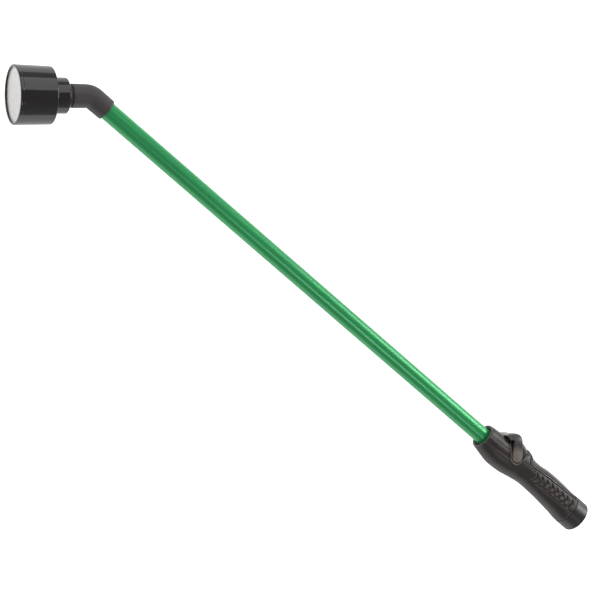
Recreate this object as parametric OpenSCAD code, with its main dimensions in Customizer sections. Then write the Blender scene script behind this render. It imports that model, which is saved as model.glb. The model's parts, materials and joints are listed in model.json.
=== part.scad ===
// Watering wand: a valve handle with a thumb lever, a straight tube, an elbow and a shower head.
// Millimetres. The origin is the centre of the hose inlet's mouth. +X runs along the tube to the
// head, +Y is the belly side that the head bends towards, and +Z is the wand's left side.

/* [Tube] */
// Outer diameter of the tube
tube_od = 19.05; // [18.9:0.05:19.1]
// Wall of the tube
tube_wall = 1.2; // [1.1:0.05:1.25]
// Distance from the inlet's mouth to the vertex of the bend
vertex_x = 735; // [600:5:900]

/* [Handle] */
// Length of the handle, from the inlet's mouth to the front rim
handle_length = 160; // [159:0.5:161]
// Radius of the inlet collar
collar_r = 18.2; // [17:0.1:19]
// Length of the inlet collar
collar_length = 18.2; // [17.6:0.1:18.4]
// Major radius of the 3/4 inch hose thread in the inlet
hose_thread_r = 13.6; // [13.4:0.05:13.8]
// Depth of the thread in the inlet
hose_thread_depth = 12; // [10:0.5:12.5]
// Radius of the water passage in the handle
passage_r = 6.5; // [5.5:0.1:6.6]

/* [Valve] */
// Place of the lever's pivot along the handle
pivot_x = 118; // [117.5:0.1:118.5]
// Place of the lever's pivot across the handle
pivot_y = -2.3; // [-2.5:0.1:-2]
// Radius of the turning plug
plug_r = 11.5; // [11.3:0.1:11.6]
// Radius of the port through the plug
port_r = 4.4; // [3.5:0.1:4.6]
// Radius of the stems that carry the lever
stem_r = 4; // [3.9:0.05:4.1]

/* [Lever] */
// How far the open lever leans towards the head
lever_lean = 34; // [32:1:36]
// How far the lever swings back to close
lever_swing = 50; // [46:1:51]
// Radius of the round end of each arm
hub_r = 6.6; // [5.8:0.1:6.8]
// Outer half width of the yoke
yoke_half = 18.4; // [17.8:0.1:18.8]
// Distance from the pivot to the top of the thumb pad
pad_r = 26; // [25:0.1:27]

/* [Elbow] */
// Angle of the bend
bend = 40; // [30:1:45]
// Radius of the bend's centreline
bend_r = 13.5; // [12.5:0.5:15]
// Outer radius of the leg that holds the tube
rear_leg_r = 11.4; // [11.2:0.1:11.6]
// Outer radius of the leg that carries the head
front_leg_r = 12; // [11.6:0.1:12.2]

/* [Shower head] */
// Outer radius of the head at its face
head_r = 29.4; // [29:0.1:30.5]
// Distance from the bend's vertex to the face rim
face_q = 78.7; // [78.2:0.1:80]
// Radius of the opening that shows the spray face
face_open_r = 27; // [26.9:0.1:27.1]
// Rings of spray holes round the centre hole
hole_rings = 11; // [4:1:11]
// Radius of one spray hole
spray_hole_r = 0.45; // [0.3:0.05:0.5]
// Radius of the threaded bore in the head's collar
head_thread_r = 10.6; // [10.55:0.01:10.65]

/* [Hidden] */
$fn = 64;

fit = 0.05;              // clearance between a seated part and its bore
tube_r = tube_od / 2;
tube_bore_r = tube_r - tube_wall;
socket_r = tube_r + fit;

// The hard core of the handle
core_start = hose_thread_depth + 3;
washer_pocket_r = hose_thread_r - 0.3;
core_r = 12;
core_front_r = 12.4;
core_end = handle_length - 4;
tube_start = 139;
ring_groove_r = 11.4;
ring_groove_width = 2.4;
tube_ring_xs = [145, 150];

// The valve, measured along the pivot from the wand's middle plane
floor_z = 14.4;          // floor of the pockets that the arms swing in
block_r = 14;
chamber_z = 11.45;
plug_z = 11.4;
cap_z = 11.55;
seal_z = 12.8;
seal_groove_r = 2.6;
seal_groove_width = 1.6;
cap_groove_r = 10.2;
washer_t = 0.5;
washer_r = 5.6;
square_end = 17.2;
square_w = 5.4;
seat_r = 7;
seat_start = 101;
seat_end = 135;

// The lever, in polar terms round its pivot: angles lean towards the head
arm_z = floor_z + washer_t + fit;
pad_inner_r = 21.6;
cheek_r = 19.5;
pad_front = 61;
pad_round = 6;           // rounding of the pad's tail corner, seen from the side
pad_drop = 7.5;          // how far the arms' outer faces curve in towards the pad
flat_r = 14;             // where that curve starts
pad_inner_corner = 2.5;
arm_neck = 4.6;          // half width of the arm's head side under the pad
neck_round = 1.5;
sweep_tail = -36;
sweep_front = 63;
sweep_r = pad_inner_r - 0.35;
pocket_gap = 0.5;
pocket_reach = 34;
pocket_z = floor_z - 0.4;
drum_r = 20.4;           // crown of the drum under the pad, and how far it falls to its ends
drum_drop = 4.4;
drum_half = 13.5;

// The elbow, measured from the vertex along the head's axis
bend_tangent = bend_r * tan(bend / 2);
elbow_start = vertex_x - 21.7;
front_leg_q = 20.7;
tube_end = vertex_x - 5.5;
neck_r = 10.2;
thread_q = 24.4;
nose_q = 34.4;
nose_thread_r = head_thread_r - 0.08;
spigot_start = vertex_x - 35;
spigot_r = tube_bore_r - fit;
spigot_passage_r = 6.2;
nose_passage_r = 6;
spigot_ring_x = vertex_x - 29;
spigot_groove_r = 7.1;

// The head, measured from the vertex along its own axis
collar_q = 24;
collar_taper = 2.4;
shoulder_q = 38.6;
shoulder_rise = 2.4;
back_round = 1.3;
head_back_r = 28.5;
head_collar_r = 17.75;
throat_q = 37;
throat_end_q = 40;
chamber_q = 45;
ledge_q = 58;
baffle_top_q = 60;
gasket_q = 74;
plate_q = 76;
lip_q = 77;
chamber_r = 25;
liner_r = 26.5;
plate_r = 27.4;
hole_pitch = 2.38;

// Outline of the grip: place along X, height to the back, height to the belly, half width
GRIP = [[18.5, 18.2, 18.2, 18.2], [30, 18.6, 16.5, 16.6], [42, 19.3, 15.2, 15.6],
    [56, 19.6, 14.1, 15.2], [68, 19.2, 13.5, 15], [80, 17.9, 13.2, 15], [88, 18, 13.5, 15.2],
    [94, 19, 14.3, 15.8], [98, 20.1, 15, 16.2], [103, 21.7, 15.9, 16.8], [108.5, 18, 16.9, 17.4],
    [114, 17.2, 17.9, 17.6], [121, 17.1, 18.6, 17.6], [130, 16.2, 19, 17.2],
    [136, 15.5, 18.8, 16.6], [144, 15.6, 17.6, 15.9], [152, 15.3, 16, 15.2],
    [157, 15, 15.1, 14.9], [160, 14.4, 14.4, 14.4]];
// Side outline of the inlay let into the back of the grip
INLAY = [[21, -40], [21, -10.5], [66, -8.6], [90, -6.2], [96, -6], [99.5, -8.2], [101, -11.5],
    [101, -15], [98.5, -24], [98.5, -40]];

// ---- shapes that several parts use ----

function arc(centre, r, from, to, steps) =
    [for (i = [0:steps]) let (a = from + (to - from) * i / steps) centre + r * [cos(a), sin(a)]];

// A smooth value between the second and third of four neighbours
function between(p, q, r, s, t) =
    0.5 * (2 * q + (r - p) * t + (2 * p - 5 * q + 4 * r - s) * t * t
    + (3 * q - p - 3 * r + s) * t * t * t);

// One ring of points round a section: centre, across axis, half height, half width and squareness
function ring(centre, across, height, width, power, points = 36) =
    [for (i = [0:points - 1]) let (a = 360 * i / points, c = cos(a), s = sin(a))
        centre + across * height * sign(c) * pow(abs(c), 2 / power)
        + [0, 0, 1] * width * sign(s) * pow(abs(s), 2 / power)];

// A closed skin over rings with the same number of points
module skin(rings) {
    n = len(rings[0]);
    last = (len(rings) - 1) * n;
    points = [for (ring = rings) for (p = ring) p];
    sides = [for (i = [0:len(rings) - 2]) for (j = [0:n - 1])
        let (a = i * n + j, b = i * n + (j + 1) % n)
        for (face = [[a, a + n, b + n], [a, b + n, b]]) face];
    ends = [[for (j = [0:n - 1]) j], [for (j = [n - 1:-1:0]) last + j]];
    polyhedron(points, concat(sides, ends));
}

module along_x() {
    rotate([0, 90, 0]) children();
}

module along_head() {
    translate([vertex_x, 0, 0]) rotate([0, 0, bend]) rotate([0, 90, 0]) children();
}

module at_pivot() {
    translate([pivot_x, pivot_y, 0]) children();
}

module rod(r, from, to) {
    translate([0, 0, from]) cylinder(r = r, h = to - from);
}

module pipe(r, hole, from, to) {
    difference() {
        rod(r, from, to);
        rod(hole, from - 1, to + 1);
    }
}

// A seal ring that just fills the gap between two radii
module seal(inner, outer, place) {
    translate([0, 0, place]) rotate_extrude()
        translate([(inner + outer) / 2, 0]) circle(r = (outer - inner) / 2);
}

// ---- inlet ----

module inlet_coupling() {
    round_r = 1.2;
    color("#2b2a2c") along_x() rotate_extrude() polygon(concat(
        [[hose_thread_r, 0]],
        arc([collar_r - round_r, round_r], round_r, -90, 0, 6),
        [[collar_r, collar_length], [core_r + fit, collar_length], [core_r + fit, core_start],
        [washer_pocket_r, core_start], [washer_pocket_r, hose_thread_depth],
        [hose_thread_r, hose_thread_depth]]));
}

module hose_washer() {
    color("#3a3a3a") along_x() pipe(washer_pocket_r - fit, 7.5, hose_thread_depth, core_start);
}

// ---- handle ----

module core_outer() {
    along_x() rod(core_r, core_start, pivot_x);
    along_x() rod(core_front_r, pivot_x, core_end);
    at_pivot() rod(block_r, -floor_z, floor_z);
}

module handle_core() {
    color("#333335") difference() {
        core_outer();
        along_x() rod(passage_r, core_start - 1, seat_start);
        along_x() rod(passage_r, seat_end, tube_start + 1);
        translate([0, pivot_y, 0]) along_x() rod(seat_r + fit, seat_start, seat_end);
        at_pivot() rod(plug_r + fit, -floor_z - 1, chamber_z);
        at_pivot() rod(stem_r + fit, 0, floor_z + 1);
        along_x() rod(socket_r, tube_start, core_end + 1);
        for (x = tube_ring_xs) along_x()
            rod(ring_groove_r, x - ring_groove_width / 2, x + ring_groove_width / 2);
    }
}

module grip_form() {
    steps = 2;
    last = len(GRIP) - 1;
    rows = [for (i = [0:last - 1]) for (k = [0:steps - 1])
        between(GRIP[max(i - 1, 0)], GRIP[i], GRIP[i + 1], GRIP[min(i + 2, last)], k / steps)];
    skin([for (row = concat(rows, [GRIP[last]]))
        let (end = min(1, (row[0] - GRIP[0][0]) / 20, (handle_length - row[0]) / 20))
        ring([row[0], (row[2] - row[1]) / 2, 0], [0, 1, 0], (row[1] + row[2]) / 2, row[3],
            2 + 0.3 * end)]);
}

module inlay_zone() {
    translate([0, 0, -30]) linear_extrude(60) polygon(INLAY);
}

module sector(from, to, r) {
    steps = 12;
    polygon(concat([[0, 0]], [for (i = [0:steps]) let (a = from + (to - from) * i / steps)
        r * [sin(a), -cos(a)]]));
}

// The flat shape that an arm sweeps between open and closed, grown by the pocket's gap
module arm_sweep() {
    half = hub_r + pocket_gap;
    closed = lever_lean - lever_swing;
    polygon(concat(arc([0, 0], half, lever_lean, closed + 180, 26),
        [pocket_reach * [sin(closed), -cos(closed)] - half * [cos(closed), sin(closed)],
        pocket_reach * [sin(lever_lean), -cos(lever_lean)]
        + half * [cos(lever_lean), sin(lever_lean)]]));
}

// Crowned drum over the valve that the thumb pad passes over
module drum() {
    at_pivot() rotate_extrude() polygon(concat([[0, -drum_half]],
        [for (a = [-90:15:90]) [drum_r - drum_drop * (1 - cos(a)), drum_half * sin(a)]],
        [[0, drum_half]]));
}

module grip_cover() {
    color("#3d3b3c") difference() {
        union() {
            grip_form();
            drum();
        }
        core_outer();
        inlay_zone();
        for (z = [-40, pocket_z]) at_pivot() translate([0, 0, z])
            linear_extrude(40 - pocket_z) arm_sweep();
        at_pivot() translate([0, 0, -30]) linear_extrude(60) difference() {
            sector(sweep_tail, sweep_front, 45);
            circle(r = sweep_r);
        }
        along_x() rod(tube_r + 0.3, core_end - 1, handle_length + 1);
        translate([core_end + 0.2, 0, 0]) along_x()
            cylinder(r1 = tube_r + 0.3, r2 = 12.6, h = handle_length - core_end);
    }
}

module grip_inlay() {
    color("#464445") difference() {
        intersection() {
            grip_form();
            inlay_zone();
        }
        along_x() rod(core_r, 0, handle_length);
    }
}

// ---- valve ----

module valve_plug() {
    stem_end = arm_z - fit;
    color("#8a8a86") at_pivot() difference() {
        union() {
            rod(plug_r, -plug_z, plug_z);
            rod(stem_r, -stem_end, stem_end);
            rotate([0, 0, lever_lean]) translate([-square_w / 2, -square_w / 2, -square_end])
                cube([square_w, square_w, 2 * square_end]);
        }
        along_x() rod(port_r, -plug_r - 1, plug_r + 1);
        for (z = [-seal_z, seal_z]) difference() {
            rod(stem_r + 1, z - seal_groove_width / 2, z + seal_groove_width / 2);
            rod(seal_groove_r, z - seal_groove_width, z + seal_groove_width);
        }
    }
}

module valve_seat(from, to) {
    color("#c9c4b6") difference() {
        translate([0, pivot_y, 0]) along_x() pipe(seat_r, port_r, from, to);
        at_pivot() rod(plug_r + 0.1, -20, 20);
    }
}

module valve_seat_inlet() {
    valve_seat(seat_start, seat_start + 8.5);
}

module valve_seat_outlet() {
    valve_seat(seat_end - 8.5, seat_end);
}

module stem_orings() {
    color("#202020") at_pivot() for (z = [-seal_z, seal_z])
        seal(seal_groove_r + 0.02, stem_r - 0.02, z);
}

module valve_cap() {
    groove_z = -(cap_z + floor_z) / 2;
    color("#2f2f31") at_pivot() difference() {
        rod(plug_r, -floor_z, -cap_z);
        rod(stem_r + fit, -floor_z - 1, 0);
        translate([0, 0, groove_z]) difference() {
            rod(plug_r + 1, -0.8, 0.8);
            rod(cap_groove_r, -1, 1);
        }
    }
}

module cap_oring() {
    color("#202020") at_pivot()
        seal(cap_groove_r + 0.02, plug_r + fit - 0.01, -(cap_z + floor_z) / 2);
}

// ---- lever ----

// Half of the yoke's section, turned round the pivot
module yoke_section() {
    inner = [pad_inner_r - pad_inner_corner, arm_z - pad_inner_corner];
    outer = [for (a = [90:-10:0])
        [flat_r + (pad_r - flat_r) * cos(a), yoke_half - pad_drop + pad_drop * sin(a)]];
    polygon(concat([[0, yoke_half]],
        outer,
        [for (i = [len(outer) - 1:-1:0]) [outer[i][0], -outer[i][1]]],
        [[0, -yoke_half], [0, -arm_z]],
        arc([inner[0], -inner[1]], pad_inner_corner, -90, 0, 4),
        arc(inner, pad_inner_corner, 0, 90, 4),
        [[0, arm_z]]));
}

// Side outline of the lever, with the arm's middle line along -Y: the tail edge runs straight from
// the round end to the pad's rounded corner
module lever_side() {
    corner = [pad_round - hub_r, -sqrt(pow(pad_r - pad_round, 2) - pow(pad_round - hub_r, 2))];
    neck = [arm_neck + neck_round,
        -sqrt(pow(cheek_r - neck_round, 2) - pow(arm_neck + neck_round, 2))];
    neck_angle = atan2(neck[1], neck[0]);
    front = pad_front - lever_lean - 90;
    rotate(lever_lean) polygon(concat(arc([0, 0], hub_r, 5, 180, 16),
        arc(corner, pad_round, 180, 255, 8),
        arc([0, 0], pad_r + 1, -88, front, 6),
        arc([0, 0], cheek_r, front, neck_angle, 3),
        arc(neck, neck_round, neck_angle, -180, 4)));
}

module lever() {
    color("#353335") at_pivot() difference() {
        intersection() {
            rotate_extrude() yoke_section();
            translate([0, 0, -yoke_half - 1]) linear_extrude(2 * yoke_half + 2) lever_side();
        }
        rotate([0, 0, lever_lean])
            translate([-square_w / 2 - fit, -square_w / 2 - fit, -square_end - fit])
            cube([square_w + 2 * fit, square_w + 2 * fit, 2 * square_end + 2 * fit]);
    }
}

module lever_washers() {
    color("#e0ddd2") at_pivot() for (z = [-floor_z - washer_t, floor_z])
        pipe(washer_r, stem_r + 0.1, z, z + washer_t);
}

// ---- tube and elbow ----

module tube_orings() {
    color("#202020") along_x() for (x = tube_ring_xs)
        seal(tube_r + 0.01, ring_groove_r - 0.01, x);
}

module tube() {
    color("#17713f") along_x() pipe(tube_r, tube_bore_r, tube_start, tube_end);
}

// Outside of the elbow: the leg that holds the tube, the bend and the leg that carries the head
module elbow_form() {
    round_r = 1;
    overlap = 0.5;
    along_x() rotate_extrude() polygon(concat([[0, elbow_start]],
        arc([rear_leg_r - round_r, elbow_start + round_r], round_r, -90, 0, 6),
        [[rear_leg_r, vertex_x - bend_tangent + overlap], [0, vertex_x - bend_tangent + overlap]]));
    translate([vertex_x - bend_tangent, bend_r, 0]) rotate([0, 0, -90])
        rotate_extrude(angle = bend) translate([bend_r, 0])
        circle(r = (rear_leg_r + front_leg_r) / 2);
    along_head() rotate_extrude() polygon(concat([[0, bend_tangent - overlap],
        [front_leg_r, bend_tangent - overlap]],
        arc([front_leg_r - round_r, front_leg_q - round_r], round_r, 0, 90, 6),
        [[0, front_leg_q]]));
}

module elbow() {
    color("#343436") difference() {
        union() {
            difference() {
                elbow_form();
                along_x() rod(socket_r, elbow_start - 1, tube_end + 0.1);
            }
            along_x() rod(spigot_r, spigot_start, vertex_x);
            along_head() rod(neck_r, 8, nose_q);
            along_head() rod(nose_thread_r, thread_q, nose_q);
        }
        along_x() rod(spigot_passage_r, spigot_start - 1, vertex_x + 1.5);
        along_head() rod(nose_passage_r, -2.5, nose_q + 1);
        translate([spigot_ring_x, 0, 0]) along_x() difference() {
            rod(tube_bore_r + 1, -0.8, 0.8);
            rod(spigot_groove_r, -1, 1);
        }
    }
}

module elbow_oring() {
    color("#202020") translate([spigot_ring_x, 0, 0]) along_x()
        seal(spigot_groove_r + 0.01, tube_bore_r - 0.01, 0);
}

// ---- shower head ----

module breaker_washer() {
    color("#3a3a3a") along_head() pipe(head_thread_r - 0.1, spigot_passage_r + 0.3, nose_q + 0.1,
        throat_q);
}

module breaker_housing() {
    mouth_r = 12.4;
    rim = 1;
    color("#1c1c1e") along_head() rotate_extrude() polygon(concat(
        [[head_thread_r, collar_q], [mouth_r, collar_q]],
        [for (a = [30:15:90]) [mouth_r + (head_collar_r - mouth_r) * sin(a),
            collar_q + collar_taper * (1 - cos(a))]],
        [[head_collar_r, shoulder_q]],
        arc([head_back_r - back_round, shoulder_q + shoulder_rise + back_round], back_round,
            -80, 0, 5),
        arc([head_r - rim, face_q - rim], rim, 0, 90, 6),
        [[face_open_r + 0.4, face_q], [face_open_r, face_q - 0.4], [face_open_r, lip_q],
        [plate_r, lip_q], [plate_r, gasket_q], [liner_r, gasket_q], [liner_r, ledge_q],
        [chamber_r, ledge_q], [chamber_r, chamber_q], [passage_r, throat_end_q],
        [passage_r, throat_q], [head_thread_r, throat_q]]));
}

// Holes on rings of 6, 12, 18 and so on round a centre hole
module ring_holes(rings, pitch, r) {
    circle(r = r);
    for (k = [1:rings]) for (i = [0:6 * k - 1])
        rotate(60 * i / k) translate([k * pitch, 0]) circle(r = r);
}

module perforated_disc(r, from, to, rings, pitch, hole) {
    along_head() translate([0, 0, from]) linear_extrude(to - from) difference() {
        circle(r = r);
        ring_holes(rings, pitch, hole, $fn = 16);
    }
}

module breaker_baffle() {
    color("#d8d6cf") perforated_disc(liner_r - 0.1, ledge_q, baffle_top_q, 4, 5.2, 1.2);
}

module baffle_spacer() {
    color("#d8d6cf") along_head() pipe(liner_r - fit, 24.9, baffle_top_q, gasket_q);
}

module face_gasket() {
    color("#3a3a3a") along_head() pipe(plate_r - fit, 25, gasket_q, plate_q);
}

module breaker_face() {
    color("#c9cdd0") perforated_disc(plate_r - fit, plate_q, lip_q, hole_rings, hole_pitch,
        spray_hole_r);
}

inlet_coupling();
hose_washer();
handle_core();
grip_cover();
grip_inlay();
valve_plug();
valve_seat_inlet();
valve_seat_outlet();
stem_orings();
valve_cap();
cap_oring();
lever();
lever_washers();
tube_orings();
tube();
elbow();
elbow_oring();
breaker_washer();
breaker_housing();
breaker_baffle();
baffle_spacer();
face_gasket();
breaker_face();
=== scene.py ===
import json
import math

import bpy
import numpy as np
from mathutils import Matrix, Vector


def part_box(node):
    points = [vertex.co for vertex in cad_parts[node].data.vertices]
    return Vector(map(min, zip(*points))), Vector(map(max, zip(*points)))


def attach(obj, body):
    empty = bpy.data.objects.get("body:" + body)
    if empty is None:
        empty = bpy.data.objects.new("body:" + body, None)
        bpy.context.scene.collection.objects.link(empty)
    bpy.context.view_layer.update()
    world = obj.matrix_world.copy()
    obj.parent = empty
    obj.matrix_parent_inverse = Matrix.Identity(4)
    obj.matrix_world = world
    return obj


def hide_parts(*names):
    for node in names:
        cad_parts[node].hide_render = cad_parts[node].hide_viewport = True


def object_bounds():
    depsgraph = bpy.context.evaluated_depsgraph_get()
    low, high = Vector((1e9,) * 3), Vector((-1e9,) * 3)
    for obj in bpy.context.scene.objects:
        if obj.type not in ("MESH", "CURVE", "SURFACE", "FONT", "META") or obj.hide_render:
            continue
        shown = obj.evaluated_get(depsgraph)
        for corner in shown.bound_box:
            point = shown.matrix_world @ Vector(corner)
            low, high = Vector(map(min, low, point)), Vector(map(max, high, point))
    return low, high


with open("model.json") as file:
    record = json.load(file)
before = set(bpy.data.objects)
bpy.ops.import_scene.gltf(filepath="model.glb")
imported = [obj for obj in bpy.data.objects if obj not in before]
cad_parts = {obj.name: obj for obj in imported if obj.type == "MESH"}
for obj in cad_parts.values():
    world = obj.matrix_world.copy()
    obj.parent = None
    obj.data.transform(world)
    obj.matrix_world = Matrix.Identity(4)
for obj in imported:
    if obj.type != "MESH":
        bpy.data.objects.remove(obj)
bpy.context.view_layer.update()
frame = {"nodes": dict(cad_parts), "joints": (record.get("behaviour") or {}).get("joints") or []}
nodes = frame["nodes"]
joints = {joint["name"]: joint for joint in frame["joints"]}
MM = 0.001


# ---- Tube ----
# A drawn aluminium tube, 19 mm outside, with a green baked lacquer. Its two ends are pushed into
# the handle and the elbow, where O-rings seal it.

def linear(value):
    """An sRGB hex colour as the linear numbers that a socket takes."""
    parts = [int(value[i:i + 2], 16) / 255 for i in (1, 3, 5)]
    return tuple(p / 12.92 if p <= 0.04045 else ((p + 0.055) / 1.055) ** 2.4 for p in parts) + (1,)


def add(tree, kind, inputs=None, **settings):
    """Adds a node. An input is a number, a colour or the output socket that feeds it."""
    node = tree.nodes.new(kind)
    for name, value in settings.items():
        setattr(node, name, value)
    for name, value in (inputs or {}).items():
        if isinstance(value, bpy.types.NodeSocket):
            tree.links.new(value, node.inputs[name])
        else:
            node.inputs[name].default_value = value
    return node


def start_material(name):
    """A new material with its node tree, its shader and the object's own coordinates in metres."""
    material = bpy.data.materials.new(name)
    material.use_nodes = True
    tree = material.node_tree
    place = add(tree, "ShaderNodeTexCoord").outputs["Object"]
    return material, tree, tree.nodes["Principled BSDF"], place


def calm_rim(tree, shader, level):
    """Lowers the gloss where a surface turns away, as a worn or slightly rough surface does."""
    facing = add(tree, "ShaderNodeLayerWeight", {"Blend": 0.5}).outputs["Facing"]
    gloss = add(tree, "ShaderNodeMapRange", {"Value": facing, "From Min": 0.35, "From Max": 0.9,
                                             "To Min": level, "To Max": level * 0.12})
    tree.links.new(gloss.outputs[0], shader.inputs["Specular IOR Level"])


def make_piece(name, points, faces, body, replaced, slot, material, sharp=40):
    """A smooth mesh object from points in millimetres that rides on a CAD body."""
    mesh = bpy.data.meshes.new(name)
    mesh.from_pydata([tuple(p) for p in np.asarray(points, float) * MM], [], faces)
    mesh.validate()
    mesh.shade_smooth()
    mesh.set_sharp_from_angle(angle=math.radians(sharp))
    mesh.materials.append(material)
    piece = bpy.data.objects.new(name, mesh)
    bpy.context.scene.collection.objects.link(piece)
    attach(piece, body)
    if replaced:
        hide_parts(*replaced)
    return piece


def loop_faces(rows, count):
    """Quads over closed rings of points, the last ring joined to the first."""
    faces = []
    for i in range(rows):
        a, b = i * count, (i + 1) % rows * count
        for j in range(count):
            k = (j + 1) % count
            faces.append((a + j, a + k, b + k, b + j))
    return faces


def held_edges(outline, margin=0.25):
    """Adds a point just inside both ends of each long stretch, so straight walls shade straight."""
    held = [outline[0]]
    for (x0, r0), (x1, r1) in zip(outline, outline[1:]):
        length = math.hypot(x1 - x0, r1 - r0)
        if length > 4 * margin:
            near = margin / length
            for part in (near, 1 - near):
                held.append((x0 + part * (x1 - x0), r0 + part * (r1 - r0)))
        held.append((x1, r1))
    return held


def lathe(outline, start=(0, 0, 0), turn=0.0, count=128):
    """Points and faces of a closed outline of (along, radius), turned round an axis in the XY plane."""
    outline = held_edges(outline)
    angle = math.radians(turn)
    along = np.array([math.cos(angle), math.sin(angle), 0])
    side = np.array([-math.sin(angle), math.cos(angle), 0])
    rounds = np.linspace(0, 2 * math.pi, count, endpoint=False)
    points = []
    for place, radius in outline:
        centre = np.array(start) + along * place
        points.append(centre + radius * (np.outer(np.cos(rounds), side)
                                         + np.outer(np.sin(rounds), (0, 0, 1))))
    return np.vstack(points), loop_faces(len(outline), count)


def round_corner(outline, corners, radius=0.6, steps=5):
    """The closed outline with the numbered corners rounded by small quadratic curves."""
    result = []
    for i, point in enumerate(np.array(outline, float)):
        if i not in corners:
            result.append(tuple(point))
            continue
        before = np.array(outline[i - 1], float) - point
        after = np.array(outline[(i + 1) % len(outline)], float) - point
        reach = min(radius, np.linalg.norm(before) / 2, np.linalg.norm(after) / 2)
        a = point + before / np.linalg.norm(before) * reach
        b = point + after / np.linalg.norm(after) * reach
        for t in np.linspace(0, 1, steps):
            result.append(tuple((1 - t) ** 2 * a + 2 * t * (1 - t) * point + t * t * b))
    return result


low, high = (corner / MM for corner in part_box("tube"))
tube_r = high.z
tube_wall, tube_edge = 1.2, 0.3
tube_outline = round_corner([(low.x, tube_r - tube_wall), (high.x, tube_r - tube_wall),
                             (high.x, tube_r), (low.x, tube_r)], (0, 1, 2, 3), tube_edge)

# Baked lacquer over drawn aluminium: the metal shows through the green as a soft sheen, and faint
# draw lines 0.4 mm apart run along the tube.
lacquer, tree, shader, place = start_material("green_lacquered_aluminium")
line_pitch = 0.4 * MM
lines = add(tree, "ShaderNodeMapping", {"Vector": place, "Scale": (0.03, 1, 1)})
grain = add(tree, "ShaderNodeTexNoise", {"Vector": lines.outputs[0], "Scale": 1 / line_pitch,
                                         "Detail": 3})
cloud = add(tree, "ShaderNodeTexNoise", {"Vector": place, "Scale": 1 / (60 * MM), "Detail": 2})
green = add(tree, "ShaderNodeMix", {"Factor": cloud.outputs["Fac"], "A": linear("#279152"),
                                    "B": linear("#2c9c5a")}, data_type="RGBA")
tree.links.new(green.outputs["Result"], shader.inputs["Base Color"])
rough = add(tree, "ShaderNodeMapRange", {"Value": grain.outputs["Fac"], "To Min": 0.27,
                                         "To Max": 0.37})
tree.links.new(rough.outputs[0], shader.inputs["Roughness"])
bump = add(tree, "ShaderNodeBump", {"Height": grain.outputs["Fac"], "Strength": 0.04,
                                    "Distance": 0.05 * MM})
tree.links.new(bump.outputs[0], shader.inputs["Normal"])
facing = add(tree, "ShaderNodeLayerWeight", {"Blend": 0.5}).outputs["Facing"]
shine = add(tree, "ShaderNodeMapRange", {"Value": facing, "From Min": 0.3, "From Max": 0.85,
                                         "To Min": 0.28, "To Max": 0.03})
tree.links.new(shine.outputs[0], shader.inputs["Metallic"])
calm_rim(tree, shader, 0.5)
make_piece("lacquered_tube", *lathe(tube_outline), "root", ["tube"], "tube_green", lacquer)


# ---- Inlet collar ----
# A moulded black collar on the end of the grip, with the hose thread cut in its bore. The thread
# is the usual garden hose one, 11.5 threads to the inch.

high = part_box("inlet_coupling")[1] / MM
collar_r, collar_end = high.z, high.x
collar_edge = 1.3
thread_depth, thread_r = 12, 13.6
washer_r = 13.3
core_nose, core_r = 15, 12.05
collar_outline = round_corner(
    [(0, thread_r), (0, collar_r), (collar_end, collar_r), (collar_end, core_r), (core_nose, core_r),
     (core_nose, washer_r), (thread_depth, washer_r), (thread_depth, thread_r)],
    (0, 1, 2), collar_edge, 8)


def helix_ridge(start, end, root, crest, pitch, turn=0.0, origin=(0, 0, 0), width=0.62, count=72):
    """A thread ridge: a small section from the root radius to the crest, along a helix."""
    angle = math.radians(turn)
    along = np.array([math.cos(angle), math.sin(angle), 0])
    side = np.array([-math.sin(angle), math.cos(angle), 0])
    section = [(-width / 2, root), (-width / 6, crest), (width / 6, crest), (width / 2, root)]
    steps = int((end - start) / pitch * count)
    run_in = count / 4
    least = 0.02
    points = []
    for i in range(steps + 1):
        a = 2 * math.pi * i / count
        fade = min(1, i / run_in, (steps - i) / run_in)
        for shift, radius in section:
            height = root + (radius - root) * max(fade, least)
            points.append(np.array(origin) + along * (start + pitch * (i / count + shift))
                          + height * (math.cos(a) * side + math.sin(a) * np.array((0, 0, 1))))
    faces = [(4 * i + j, 4 * i + (j + 1) % 4, 4 * i + 4 + (j + 1) % 4, 4 * i + 4 + j)
             for i in range(steps) for j in range(4)]
    return points, faces + [(3, 2, 1, 0), tuple(4 * steps + j for j in range(4))]


# Glass-filled nylon from a spark-eroded mould: nearly black, with an even satin grain that the eye
# sees as a soft wide highlight.
satin, tree, shader, place = start_material("satin_black_nylon")
spark_grain = 0.35 * MM
grain = add(tree, "ShaderNodeTexNoise", {"Vector": place, "Scale": 1 / spark_grain, "Detail": 4})
patch = add(tree, "ShaderNodeTexNoise", {"Vector": place, "Scale": 1 / (18 * MM), "Detail": 2})
black = add(tree, "ShaderNodeMix", {"Factor": patch.outputs["Fac"], "A": linear("#1d1b1c"),
                                    "B": linear("#262324")}, data_type="RGBA")
tree.links.new(black.outputs["Result"], shader.inputs["Base Color"])
rough = add(tree, "ShaderNodeMapRange", {"Value": patch.outputs["Fac"], "To Min": 0.36,
                                         "To Max": 0.46})
tree.links.new(rough.outputs[0], shader.inputs["Roughness"])
bump = add(tree, "ShaderNodeBump", {"Height": grain.outputs["Fac"], "Strength": 0.10,
                                    "Distance": 0.06 * MM})
tree.links.new(bump.outputs[0], shader.inputs["Normal"])
calm_rim(tree, shader, 0.5)
make_piece("threaded_inlet_collar", *lathe(collar_outline), "root", ["inlet_coupling"],
           "coupling_plastic", satin)
hose_pitch = 25.4 / 11.5
ridge_height, ridge_foot = 1.15, 0.05
thread_start, thread_end = 0.8, thread_depth - 1.2
make_piece("hose_thread", *helix_ridge(thread_start, thread_end, thread_r + ridge_foot,
                                       thread_r - ridge_height, hose_pitch),
           "root", [], "coupling_plastic", satin, 25)


# ---- Grip cover ----
# A soft rubbery cover moulded over the hard core, in one piece from the inlet collar to the tube.
# Its sides carry a row of finger ribs, a crease line and a beaded pocket for each arm of the lever.

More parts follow.
